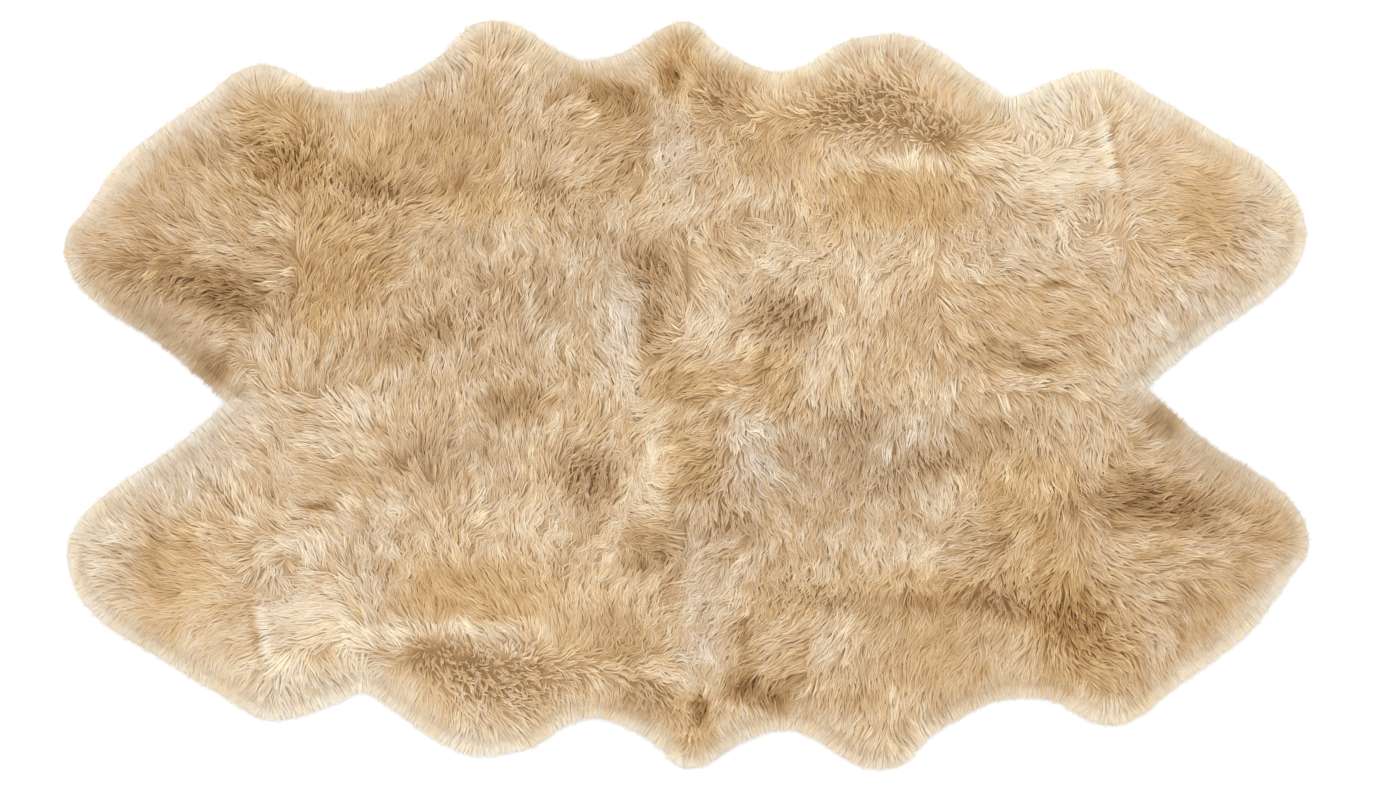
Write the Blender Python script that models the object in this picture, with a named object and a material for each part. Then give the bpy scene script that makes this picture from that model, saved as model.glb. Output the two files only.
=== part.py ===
"""Sheepskin rug of four pelts, lying flat on the floor with the wool up.

Two pelts lie end to end along the rug, and two more lie beside them.
They are sewn together along one seam down the length and one across the middle.
Each pelt is one solid: its hide and the wool that grows from it.  The wool is a lumpy slab
that falls off towards the hide's free edge, with tapered locks all along that edge.

Frame: metres, +X along the rug's length, +Y across it, +Z up.
The origin is where the two seams cross, on the floor.
"""

import math
import random

import bmesh
import bpy
from mathutils import Vector, geometry, kdtree, noise

MM = 0.001
UP = Vector((0, 0, 1))

# Wool
PILE_HEIGHT = 47 * MM           # full depth of the wool, hide included
EDGE_HEIGHT = 17 * MM           # height of the wool over the hide's free edge
CROWN_REACH = 78 * MM           # how far in from the free edge the wool reaches full depth
EDGE_LUMPS = 0.35               # share of the lumps' height that is left at the free edge
RIPPLE_RISE = 5 * MM            # unevenness of brushed wool
RIPPLE_WIDTH = 82 * MM

# Locks at the free edge
LOCK_WIDTH = 20 * MM
LOCK_REACH = 23 * MM            # from the hide's edge to a lock's tip
LOCK_REACH_SPREAD = 3 * MM
LOCK_LEAN = 4 * MM              # a tip strays sideways by up to this much
LOCK_MIDDLE = 0.55              # how far along its reach a lock's middle section is
MIDDLE_SIZE = (0.72, 0.62)      # width and height there, as shares of the root's
TIP_SIZE = (0.26, 0.2)          # width and height at the tip
SHORTEST_LOCK = 7 * MM
SEAM_CLEARANCE = 2.5 * MM       # a lock stays this far from the line of the long seam
LOCK_SEED = 41

# Joints between pelts, and mesh steps
SEAM_GAP = 0.3 * MM             # between the solids of two neighbouring pelts
SEAM_STEP = 45 * MM
CURVE_STEPS = 24                # points between two places of the hide's edge
TOP_STEP = 43 * MM
TOP_SNAP = 8 * MM               # a corner this near a dividing line is used as it is
RING_SHARES = (0.955, 0.93)     # each ring of the top is this share of the last one
SHARP_ANGLE = 50.0

# Colours, linear
HONEY_WOOL = (0.578, 0.402, 0.231, 1.0)
CREAM_WOOL = (0.651, 0.474, 0.292, 1.0)
WOOL_ROUGHNESS = 0.9

# The hide's free edge on the rug's far half, from a seam's end to the next seam's end.
# Columns: name, x mm, y mm, heading in degrees, handle before mm, handle after mm.
# The heading is counted from +X towards +Y, in the direction of travel.
HONEY_EDGE = (
    ("notch", -632, -11, 141, 0, 45),
    ("cheek", -766, 102, 149, 50, 45),
    ("end", -878, 213, 90, 52, 18),
    ("dent", -852, 253, 54, 14, 28),
    ("shoulder", -792, 334, 40, 26, 44),
    ("leg root", -667, 427, 41, 38, 14),
    ("front leg", -612, 457, 0, 24, 20),
    ("leg side", -559, 432, -38, 14, 14),
    ("flank", -478, 416, 2, 34, 44),
    ("thigh", -349, 470, 34, 44, 22),
    ("leg corner", -306, 513, 52, 12, 7),
    ("hind leg", -279, 520, 0, 10, 24),
    ("leg back", -218, 494, -36, 18, 20),
    ("hollow", -142, 462, 2, 28, 28),
    ("rump", -55, 492, 34, 26, 16),
    ("peak", 0, 520, 6, 24, 0),
)
CREAM_EDGE = (
    ("peak", 0, 520, -14, 0, 8),
    ("rump", 16, 502, -42, 8, 28),
    ("hollow", 140, 446, 2, 46, 26),
    ("leg back", 219, 483, 46, 22, 8),
    ("hind leg", 297, 501, 0, 42, 26),
    ("thigh", 375, 465, -34, 24, 34),
    ("flank", 466, 408, 2, 20, 18),
    ("leg side", 525, 430, 22, 18, 20),
    ("front leg", 604, 450, -3, 30, 12),
    ("leg root", 642, 427, -30, 15, 34),
    ("shoulder", 739, 369, -33, 40, 34),
    ("cheek", 837, 307, -44, 26, 20),
    ("end", 874, 232, -90, 28, 28),
    ("chin", 843, 173, -138, 18, 30),
    ("throat", 745, 104, -148, 40, 34),
    ("notch", 632, 11, -141, 40, 0),
)

# The spine of each pelt, from end to end, which the rings of its top draw in to.
HONEY_SPINE = (Vector((-700, 210, 0)) * MM, Vector((-180, 240, 0)) * MM)
CREAM_SPINE = (Vector((180, 230, 0)) * MM, Vector((690, 225, 0)) * MM)

# Tufts and hollows in the wool of the far half.  The near half has the same, half a turn on.
# Columns: name, x mm, y mm, half length mm, half width mm, turn in degrees, rise mm.
LUMPS = (
    ("parting at the honey end", -690, 155, 150, 38, -6, -8),
    ("hollow by the notch", -680, 30, 40, 30, 0, -6),
    ("curl by the front leg", -545, 285, 48, 44, 0, -7),
    ("ridge at the honey end", -650, 285, 120, 34, -45, 5),
    ("tuft band", -285, 238, 120, 22, 0, 6),
    ("line under the band", -320, 205, 110, 18, 0, -6),
    ("hollow at the peak", -20, 455, 38, 34, 0, -7),
    ("middle hollow", -50, 175, 34, 48, 10, -6),
    ("hollow at the long seam", -265, -15, 52, 30, 0, -6),
    ("tall streak", -95, 65, 30, 70, 0, 5),
    ("middle streak", 25, 105, 30, 80, 0, 5),
    ("dark hollow", 147, 118, 62, 52, 0, -8),
    ("curls at the hind leg", 270, 395, 110, 46, 0, -7),
    ("ridge under the curls", 345, 338, 90, 18, 0, 6),
    ("tuft at the front leg", 500, 385, 70, 40, 0, 5),
    ("shoulder parting", 600, 357, 16, 62, 0, -6),
    ("swell at the cream end", 700, 215, 120, 80, 0, 4),
    ("crease at the cream end", 515, 160, 60, 22, -20, -5),
)


def clear_scene():
    for thing in list(bpy.data.objects):
        bpy.data.objects.remove(thing, do_unlink=True)


def wool_material(name, color):
    material = bpy.data.materials.new(name)
    material.use_nodes = True
    material.diffuse_color = color
    shader = material.node_tree.nodes["Principled BSDF"]
    shader.inputs["Base Color"].default_value = color
    shader.inputs["Roughness"].default_value = WOOL_ROUGHNESS
    shader.inputs["Metallic"].default_value = 0.0
    return material


def direction(degrees):
    angle = math.radians(degrees)
    return Vector((math.cos(angle), math.sin(angle), 0))


def edge_curve(edge):
    """Points close together along the hide's edge, a Bezier stretch between two places."""
    curve = []
    for start, end in zip(edge, edge[1:]):
        _, start_x, start_y, leaving, _, after = start
        _, end_x, end_y, arriving, before, _ = end
        first = Vector((start_x, start_y, 0)) * MM
        last = Vector((end_x, end_y, 0)) * MM
        curve += geometry.interpolate_bezier(
            first, first + direction(leaving) * after * MM,
            last - direction(arriving) * before * MM, last, CURVE_STEPS)[:-1]
    return curve + [last]


def even_points(curve, step):
    """Points evenly spaced along a curve, about a step apart."""
    lengths = [0.0]
    for a, b in zip(curve, curve[1:]):
        lengths.append(lengths[-1] + (b - a).length)
    count = round(lengths[-1] / step)
    points = []
    index = 0
    for k in range(count + 1):
        target = lengths[-1] * k / count
        while index < len(curve) - 2 and lengths[index + 1] < target:
            index += 1
        share = (target - lengths[index]) / (lengths[index + 1] - lengths[index])
        points.append(curve[index].lerp(curve[index + 1], share))
    return points


def free_edge_tree(edges):
    """A search tree of the rug's whole free edge, both halves."""
    far_half = [point for edge in edges for point in edge_curve(edge)]
    points = far_half + [-point for point in far_half]
    tree = kdtree.KDTree(len(points))
    for index, point in enumerate(points):
        tree.insert(point, index)
    tree.balance()
    return tree


def lump_rise(place, lump):
    """What one tuft or hollow adds to the wool's height at a place."""
    _, x, y, half_length, half_width, turn, rise = lump
    away = place - Vector((x, y, 0)) * MM
    along = away.dot(direction(turn)) / (half_length * MM)
    aside = away.dot(direction(turn + 90)) / (half_width * MM)
    return rise * MM * math.exp(-along ** 2 - aside ** 2)


def wool_height(place, edge_tree):
    """Height of the wool at a place: the crown over the free edge, with tufts and hollows."""
    flat = Vector((place.x, place.y, 0))
    inward = edge_tree.find(flat)[2]
    share = min(inward / CROWN_REACH, 1.0)
    crown = math.sqrt(1 - (1 - share) ** 2)
    detail = 0.0
    for spot in (flat, -flat):
        detail += sum(lump_rise(spot, lump) for lump in LUMPS)
        detail += RIPPLE_RISE * noise.noise(spot / RIPPLE_WIDTH)
    detail *= EDGE_LUMPS + (1 - EDGE_LUMPS) * share
    return EDGE_HEIGHT + (PILE_HEIGHT - EDGE_HEIGHT) * crown + detail


def cut_hide(mesh, edge):
    """The pelt's flat shape as one face on the floor, with even steps along its seams."""
    rim = [mesh.verts.new(point) for point in reversed(even_points(edge_curve(edge), LOCK_WIDTH))]
    cross = mesh.verts.new((0, 0, 0))
    sole = mesh.faces.new(rim + [cross])
    for seam in list(cross.link_edges):
        cuts = round(seam.calc_length() / SEAM_STEP) - 1
        bmesh.ops.subdivide_edges(mesh, edges=[seam], cuts=cuts)
    return sole


def extrude_face(mesh, face):
    """Extrude one face in place and return its new end."""
    made = bmesh.ops.extrude_face_region(mesh, geom=[face])["geom"]
    return next(item for item in made if isinstance(item, bmesh.types.BMFace))


def nearest_on_spine(place, spine):
    nearest, share = geometry.intersect_point_line(place, *spine)
    return nearest if 0 < share < 1 else spine[share >= 1]


def raise_wool(mesh, sole, spine, edge_tree):
    """Extrude the hide's shape up, ring its top and divide it, and lift it to the wool."""
    top = extrude_face(mesh, sole)
    bmesh.ops.translate(mesh, verts=top.verts, vec=UP * EDGE_HEIGHT)
    for share in RING_SHARES:
        last_top = top
        top = extrude_face(mesh, last_top)
        mesh.faces.remove(last_top)
        for vert in top.verts:
            vert.co.xy = nearest_on_spine(vert.co, spine).xy.lerp(vert.co.xy, share)
    top.material_index = 1
    for normal in (Vector((1, 0, 0)), Vector((0, 1, 0))):
        reach = [vert.co.dot(normal) for vert in mesh.verts]
        for step in range(math.ceil(min(reach) / TOP_STEP), math.ceil(max(reach) / TOP_STEP)):
            parts = [face for face in mesh.faces if face.material_index == 1]
            around = dict.fromkeys(
                item for face in parts for item in (*face.edges, *face.verts))
            bmesh.ops.bisect_plane(mesh, geom=parts + list(around), dist=TOP_SNAP,
                                   plane_co=normal * step * TOP_STEP, plane_no=normal)
    for face in mesh.faces:
        face.material_index = 0
    for vert in mesh.verts:
        if vert.co.z > 0:
            vert.co.z = wool_height(vert.co, edge_tree)


def grow_lock(mesh, root, reach, lean, room):
    """Pull one wall face of the free edge out to a tapered lock that lies on the floor.

    Room is how far the next tip is, as a share of the root's width: a lock is thinner and
    straighter in a hollow of the edge, where its neighbours come near.
    """
    outward = root.normal.copy()
    aside = UP.cross(outward)
    foot = root.calc_center_median()
    half_width = max((vert.co - foot).dot(aside) for vert in root.verts)
    height = max(vert.co.z for vert in root.verts)
    foot.z = 0.0
    cap = root
    for share, size in ((LOCK_MIDDLE, MIDDLE_SIZE), (1.0, TIP_SIZE)):
        cap = bmesh.ops.extrude_discrete_faces(mesh, faces=[cap])["faces"][0]
        middle = foot + outward * reach * share + aside * lean * room * share ** 2
        width = half_width * size[0] * room ** share
        for vert in cap.verts:
            side = math.copysign(width, (vert.co - foot).dot(aside))
            level = height * size[1] if vert.co.z > 0 else 0.0
            vert.co = middle + aside * side + UP * level


def clear_of_seam(root, seam_end):
    """How far a lock may reach before it comes too near the line of the long seam."""
    inward = UP.cross(seam_end).normalized()
    inward *= math.copysign(1, root.calc_center_median().dot(inward))
    closing = -root.normal.dot(inward)
    if closing <= 0:
        return math.inf
    nearest = min(vert.co.dot(inward) for vert in root.verts)
    return (nearest - SEAM_CLEARANCE) / closing


def stands_on_free_edge(face, edge_tree):
    """Whether a face is a piece of wall that stands on the hide's free edge."""
    feet = [vert.co for vert in face.verts if vert.co.z == 0]
    near = all(edge_tree.find(foot)[2] < LOCK_WIDTH / 4 for foot in feet)
    return len(feet) == 2 and near


def grow_locks(mesh, edge_tree, seam_end, seed):
    """A lock on each piece of the free edge's wall."""
    chance = random.Random(seed)
    roots = sorted((face for face in mesh.faces if stands_on_free_edge(face, edge_tree)),
                   key=lambda face: face.calc_center_median().x)
    tips = [root.calc_center_median() + root.normal * LOCK_REACH for root in roots]
    for root, tip in zip(roots, tips):
        next_tip = min((other - tip).length for other in tips if other is not tip)
        reach = LOCK_REACH + chance.uniform(-1, 1) * LOCK_REACH_SPREAD
        lean = chance.uniform(-1, 1) * LOCK_LEAN
        reach = min(reach, clear_of_seam(root, seam_end))
        if reach > SHORTEST_LOCK:
            grow_lock(mesh, root, reach, lean, min(next_tip / LOCK_WIDTH, 1.0))


def pelt_mesh(name, edge, spine, edge_tree, material, seed):
    mesh = bmesh.new()
    sole = cut_hide(mesh, edge)
    raise_wool(mesh, sole, spine, edge_tree)
    bmesh.ops.recalc_face_normals(mesh, faces=mesh.faces)
    seam_end = next(Vector((x, y, 0)) for place, x, y, *_ in edge if place == "notch")
    grow_locks(mesh, edge_tree, seam_end, seed)
    bmesh.ops.triangulate(mesh, faces=mesh.faces, ngon_method="BEAUTY")
    data = bpy.data.meshes.new(name)
    mesh.to_mesh(data)
    mesh.free()
    data.materials.append(material)
    data.shade_smooth()
    data.set_sharp_from_angle(angle=math.radians(SHARP_ANGLE))
    return data


def lay_pelt(collection, name, mesh, side, half_turn):
    """Place a pelt on its side of the seams: side is its place's signs along X and Y."""
    pelt = bpy.data.objects.new(name, mesh)
    pelt.location = Vector((*side, 0)) * SEAM_GAP / 2
    pelt.rotation_euler.z = math.pi if half_turn else 0.0
    collection.objects.link(pelt)


def build_rug():
    clear_scene()
    collection = bpy.data.collections.new("sheepskin_rug")
    bpy.context.scene.collection.children.link(collection)
    edge_tree = free_edge_tree((HONEY_EDGE, CREAM_EDGE))
    honey = pelt_mesh("honey_pelt", HONEY_EDGE, HONEY_SPINE, edge_tree,
                      wool_material("honey_wool", HONEY_WOOL), LOCK_SEED)
    cream = pelt_mesh("cream_pelt", CREAM_EDGE, CREAM_SPINE, edge_tree,
                      wool_material("cream_wool", CREAM_WOOL), LOCK_SEED + 1)
    lay_pelt(collection, "far_left_pelt", honey, (-1, 1), False)
    lay_pelt(collection, "far_right_pelt", cream, (1, 1), False)
    lay_pelt(collection, "near_right_pelt", honey, (1, -1), True)
    lay_pelt(collection, "near_left_pelt", cream, (-1, -1), True)


build_rug()
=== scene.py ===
# %% [markdown]
# # A sheepskin rug
#
# The real rug is four long-wool sheepskins, sewn edge to edge: two lie end to end, and two more
# lie beside them, turned half round. A tanner leaves the wool on the hide, washes and brushes it,
# and cuts only the edges that meet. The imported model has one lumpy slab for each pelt, for
# collisions and weight. This lesson grows what the eye sees: a suede hide, a dense undercoat
# and tens of thousands of long, wavy strands that lie as they were brushed.

import math

import bmesh
import bpy
import numpy as np
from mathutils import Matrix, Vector, geometry


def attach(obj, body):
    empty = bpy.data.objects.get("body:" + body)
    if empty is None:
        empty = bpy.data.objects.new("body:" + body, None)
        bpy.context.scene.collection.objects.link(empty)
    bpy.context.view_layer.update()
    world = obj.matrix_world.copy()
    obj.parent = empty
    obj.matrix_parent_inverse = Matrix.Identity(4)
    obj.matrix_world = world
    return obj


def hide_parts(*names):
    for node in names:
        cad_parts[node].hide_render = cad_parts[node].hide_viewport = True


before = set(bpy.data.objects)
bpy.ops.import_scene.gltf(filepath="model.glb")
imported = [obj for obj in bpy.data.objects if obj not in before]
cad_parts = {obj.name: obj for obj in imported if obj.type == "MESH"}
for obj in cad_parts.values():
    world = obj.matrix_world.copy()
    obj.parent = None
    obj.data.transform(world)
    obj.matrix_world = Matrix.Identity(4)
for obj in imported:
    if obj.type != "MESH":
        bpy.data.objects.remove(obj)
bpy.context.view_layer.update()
MM = 0.001

# %% [markdown]
# ## The camera and the floor
#
# The photograph looks straight down on the rug, so the camera hangs over it and looks down with
# the rug's far side at the top. Blender's camera looks along its own -Z, so it needs no turn.
# A long lens from high up keeps the sides of the wool out of the picture, as they are there.

# %% Camera and floor
CAMERA_HEIGHT = 5.56                    # metres over the floor
CAMERA_SHIFT = (9.3 * MM, -10.0 * MM)   # the rug lies a little left of the picture's middle, and high
LENS = 100                              # on a 36 mm sensor
SIGHT = 60                              # metres that the camera sees
FLOOR_SIZE = 14.0
FLOOR_DROP = 0.3 * MM                   # the hides rest on it and don't share its plane


def linear(code):
    """An sRGB hex colour as the four linear values that a shader takes."""
    parts = [int(code[place:place + 2], 16) / 255 for place in (1, 3, 5)]
    return [part / 12.92 if part <= 0.04045 else ((part + 0.055) / 1.055) ** 2.4
            for part in parts] + [1.0]


def add_object(name, data):
    """Put a mesh, lamp or camera into the scene under a name."""
    thing = bpy.data.objects.new(name, data)
    bpy.context.scene.collection.objects.link(thing)
    return thing


lens = bpy.data.cameras.new("camera_over_the_rug")
lens.lens = LENS
lens.clip_end = SIGHT
camera = add_object("camera_over_the_rug", lens)
camera.location = (*CAMERA_SHIFT, CAMERA_HEIGHT)
bpy.context.scene.camera = camera

shape = bmesh.new()
bmesh.ops.create_grid(shape, x_segments=1, y_segments=1, size=FLOOR_SIZE / 2)
bmesh.ops.translate(shape, verts=shape.verts, vec=(0, 0, -FLOOR_DROP))
floor_mesh = bpy.data.meshes.new("floor")
shape.to_mesh(floor_mesh)
shape.free()
floor = add_object("floor", floor_mesh)
print("the camera looks down from", CAMERA_HEIGHT, "m")

# %% [markdown]
# ## The hide's outline
#
# A sheepskin keeps the animal's outline: bulges where the legs were, hollows at the flanks. The
# outline is a few given places with a heading, and a Bezier stretch runs between each two, as
# with the handles of a curve object. Only the far half is listed. The near half is the same
# turned by half a turn, so its points are the far half's with both signs changed.

# %% The free edge
# Columns: name, x mm, y mm, heading in degrees, handle before mm, handle after mm.
HONEY_EDGE = (
    ("notch", -632, -11, 141, 0, 45),
    ("cheek", -766, 102, 149, 50, 45),
    ("end", -878, 213, 90, 52, 18),
    ("dent", -852, 253, 54, 14, 28),
    ("shoulder", -792, 334, 40, 26, 44),
    ("leg root", -667, 427, 41, 38, 14),
    ("front leg", -612, 457, 0, 24, 20),
    ("leg side", -559, 432, -38, 14, 14),
    ("flank", -478, 416, 2, 34, 44),
    ("thigh", -349, 470, 34, 44, 22),
    ("leg corner", -306, 513, 52, 12, 7),
    ("hind leg", -279, 520, 0, 10, 24),
    ("leg back", -218, 494, -36, 18, 20),
    ("hollow", -142, 462, 2, 28, 28),
    ("rump", -55, 492, 34, 26, 16),
    ("peak", 0, 520, 6, 24, 0),
)
CREAM_EDGE = (
    ("peak", 0, 520, -14, 0, 8),
    ("rump", 16, 502, -42, 8, 28),
    ("hollow", 140, 446, 2, 46, 26),
    ("leg back", 219, 483, 46, 22, 8),
    ("hind leg", 297, 501, 0, 42, 26),
    ("thigh", 375, 465, -34, 24, 34),
    ("flank", 466, 408, 2, 20, 18),
    ("leg side", 525, 430, 22, 18, 20),
    ("front leg", 604, 450, -3, 30, 12),
    ("leg root", 642, 427, -30, 15, 34),
    ("shoulder", 739, 369, -33, 40, 34),
    ("cheek", 837, 307, -44, 26, 20),
    ("end", 874, 232, -90, 28, 28),
    ("chin", 843, 173, -138, 18, 30),
    ("throat", 745, 104, -148, 40, 34),
    ("notch", 632, 11, -141, 40, 0),
)
CURVE_STEPS = 24                        # points between two places


def heading(degrees):
    """A level direction of length 1, with degrees counted from +X towards +Y."""
    angle = math.radians(degrees)
    return Vector((math.cos(angle), math.sin(angle), 0))


def edge_curve(edge):
    """Points close together along the hide's free edge, in metres."""
    curve = []
    for start, end in zip(edge, edge[1:]):
        _, start_x, start_y, leaving, _, after = start
        _, end_x, end_y, arriving, before, _ = end
        first = Vector((start_x, start_y, 0)) * MM
        last = Vector((end_x, end_y, 0)) * MM
        curve += geometry.interpolate_bezier(
            first, first + heading(leaving) * after * MM,
            last - heading(arriving) * before * MM, last, CURVE_STEPS)[:-1]
    return curve + [last]


def even_points(curve, step):
    """The same curve with points evenly spaced, about a step apart."""
    path = np.array(curve)
    run = np.concatenate([[0], np.cumsum(np.linalg.norm(np.diff(path, axis=0), axis=1))])
    places = np.linspace(0, run[-1], round(run[-1] / step) + 1)
    return np.column_stack([np.interp(places, run, path[:, axis]) for axis in range(2)])


EDGE_STEP = 6 * MM
honey_edge = even_points(edge_curve(HONEY_EDGE), EDGE_STEP)
cream_edge = even_points(edge_curve(CREAM_EDGE), EDGE_STEP)
far_edge = np.concatenate([honey_edge, cream_edge[1:]])
free_edge = np.concatenate([far_edge, -far_edge[1:]])
PELTS = {
    "far_left_pelt": ("honey", np.vstack([honey_edge, [[0, 0]]])),
    "far_right_pelt": ("cream", np.vstack([cream_edge, [[0, 0]]])),
    "near_right_pelt": ("honey", np.vstack([-honey_edge, [[0, 0]]])),
    "near_left_pelt": ("cream", np.vstack([-cream_edge, [[0, 0]]])),
}
print("the free edge has", len(free_edge), "points and is",
      round(len(free_edge) * EDGE_STEP, 2), "m round")

# %% [markdown]
# ## Maps of the rug
#
# Everything about the wool depends on where it grows: how far the free edge is, how high the
# wool stands, which way it lies and how light it is. Working these out for each strand would be
# slow, so they are worked out once on a grid, as a maker would chalk a plan on the floor, and
# then read anywhere between its points. The first maps are the distance to the free edge
# (positive inside) and the direction that leads straight out over it.

# %% Distance and outward direction
MAP_STEP = 5 * MM
MAP_HALF = np.array([0.965, 0.605])
map_shape = np.round(2 * MAP_HALF / MAP_STEP).astype(int) + 1
map_x = np.linspace(-MAP_HALF[0], MAP_HALF[0], map_shape[0])
map_y = np.linspace(-MAP_HALF[1], MAP_HALF[1], map_shape[1])
map_places = np.stack(np.meshgrid(map_x, map_y, indexing="ij"), axis=-1)


def read_map(values, places):
    """Values of a map at any places, blended between the four nearest points of its grid."""
    spot = (places + MAP_HALF) / MAP_STEP
    corner = np.clip(np.floor(spot).astype(int), 0, map_shape - 2)
    share = np.clip(spot - corner, 0, 1)
    i, j = corner[..., 0], corner[..., 1]
    a, b = share[..., 0], share[..., 1]
    if values.ndim == 3:
        a, b = a[..., None], b[..., None]
    return ((values[i, j] * (1 - a) + values[i + 1, j] * a) * (1 - b)
            + (values[i, j + 1] * (1 - a) + values[i + 1, j + 1] * a) * b)


def unit(vectors):
    """The same vectors at length 1."""
    return vectors / np.maximum(np.linalg.norm(vectors, axis=-1, keepdims=True), 1e-6)


def inside(places, outline):
    """Whether places are inside a closed outline: a line to their right crosses it an odd number
    of times."""
    crossed = np.zeros(places.shape[:-1], bool)
    for (ax, ay), (bx, by) in zip(outline, np.roll(outline, -1, axis=0)):
        spans = (ay > places[..., 1]) != (by > places[..., 1])
        if ay != by:
            crossed ^= spans & (places[..., 0] < (bx - ax) * (places[..., 1] - ay) / (by - ay) + ax)
    return crossed


nearest = np.full(map_places.shape[:2], np.inf)
for point in free_edge:
    nearest = np.minimum(nearest, np.hypot(*np.moveaxis(map_places - point, -1, 0)))
reach_map = np.where(inside(map_places, free_edge), nearest, -nearest)
slope = np.stack(np.gradient(-reach_map, MAP_STEP), axis=-1)
outward_map = slope / np.maximum(np.linalg.norm(slope, axis=-1, keepdims=True), 0.1)
print("the middle of the rug is", round(float(reach_map.max()), 3), "m from the free edge")

# %% [markdown]
# ## How high the wool stands
#
# Wool at a free edge has nothing to lean on, so the pile rises from the edge to a level crown.
# Brushing leaves tufts and hollows in it. Each is one soft mound in the table, the same ones as
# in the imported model, and a slow noise adds the rest. Past the hide's edge the wool arches down
# to the floor, which a quarter of an ellipse describes well.

# %% Wool height
PILE_HEIGHT = 46 * MM
EDGE_HEIGHT = 18 * MM
CROWN_REACH = 78 * MM                   # how far in the wool reaches full depth
OVERHANG = 27 * MM                      # how far past the hide the wool reaches the floor
EDGE_LUMPS = 0.35                       # how lumpy the free edge is, against the crown
RIPPLE_RISE = 5 * MM
RIPPLE_WIDTH = 60 * MM
# Columns: name, x mm, y mm, half length mm, half width mm, turn in degrees, rise mm.
LUMPS = (
    ("parting at the honey end", -690, 155, 150, 38, -6, -8),
    ("hollow by the notch", -680, 30, 40, 30, 0, -6),
    ("curl by the front leg", -545, 285, 48, 44, 0, -7),
    ("ridge at the honey end", -650, 285, 120, 34, -45, 5),
    ("tuft band", -285, 238, 120, 22, 0, 6),
    ("line under the band", -320, 205, 110, 18, 0, -6),
    ("hollow at the peak", -20, 455, 38, 34, 0, -7),
    ("middle hollow", -50, 175, 34, 48, 10, -6),
    ("hollow at the long seam", -265, -15, 52, 30, 0, -6),
    ("tall streak", -95, 65, 30, 70, 0, 5),
    ("middle streak", 25, 105, 30, 80, 0, 5),
    ("dark hollow", 147, 118, 62, 52, 0, -8),
    ("curls at the hind leg", 270, 395, 110, 46, 0, -7),
    ("ridge under the curls", 345, 338, 90, 18, 0, 6),
    ("tuft at the front leg", 500, 385, 70, 40, 0, 5),
    ("shoulder parting", 600, 357, 16, 62, 0, -6),
    ("swell at the cream end", 700, 215, 120, 80, 0, 4),
    ("crease at the cream end", 515, 160, 60, 22, -20, -5),
)


def mounds(places, table, power=2, signs=(1, -1)):
    """The sum of a table's soft mounds at some places, and of the same ones half a turn on."""
    total = np.zeros(places.shape[:-1])
    for _, x, y, half_length, half_width, turn, size in table:
        along_axis = np.array(heading(turn)[:2])
        aside_axis = np.array(heading(turn + 90)[:2])
        for sign in signs:
            away = places * sign / MM - (x, y)
            total += size * np.exp(-np.abs(away @ along_axis / half_length) ** power
                                   - np.abs(away @ aside_axis / half_width) ** power)
    return total


NOISE_CELLS = 128                       # along each side of the table of random numbers


def soft_noise(places, width, seed):
    """Smooth noise from -1 to 1 that changes over about a width, the same for the same seed."""
    dice = np.random.default_rng(seed).uniform(-1, 1, (NOISE_CELLS, NOISE_CELLS))
    spot = places / width + NOISE_CELLS / 2 + 0.5
    cell = np.floor(spot).astype(int)
    share = spot - cell
    share = share * share * (3 - 2 * share)
    i, j = cell[..., 0] % (NOISE_CELLS - 1), cell[..., 1] % (NOISE_CELLS - 1)
    a, b = share[..., 0], share[..., 1]
    return ((dice[i, j] * (1 - a) + dice[i + 1, j] * a) * (1 - b)
            + (dice[i, j + 1] * (1 - a) + dice[i + 1, j + 1] * a) * b)


crown_share = np.clip(reach_map / CROWN_REACH, 0, 1)
crown = EDGE_HEIGHT + (PILE_HEIGHT - EDGE_HEIGHT) * np.sqrt(1 - (1 - crown_share) ** 2)
detail = mounds(map_places, LUMPS) * MM
detail += RIPPLE_RISE * soft_noise(map_places, RIPPLE_WIDTH, 3)
detail *= EDGE_LUMPS + (1 - EDGE_LUMPS) * crown_share
arch = np.sqrt(1 - np.clip(-reach_map / OVERHANG, 0, 1) ** 2)
height_map = (crown + detail) * arch
print("the wool is", round(float(height_map.max()) / MM), "mm high at most")
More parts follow.
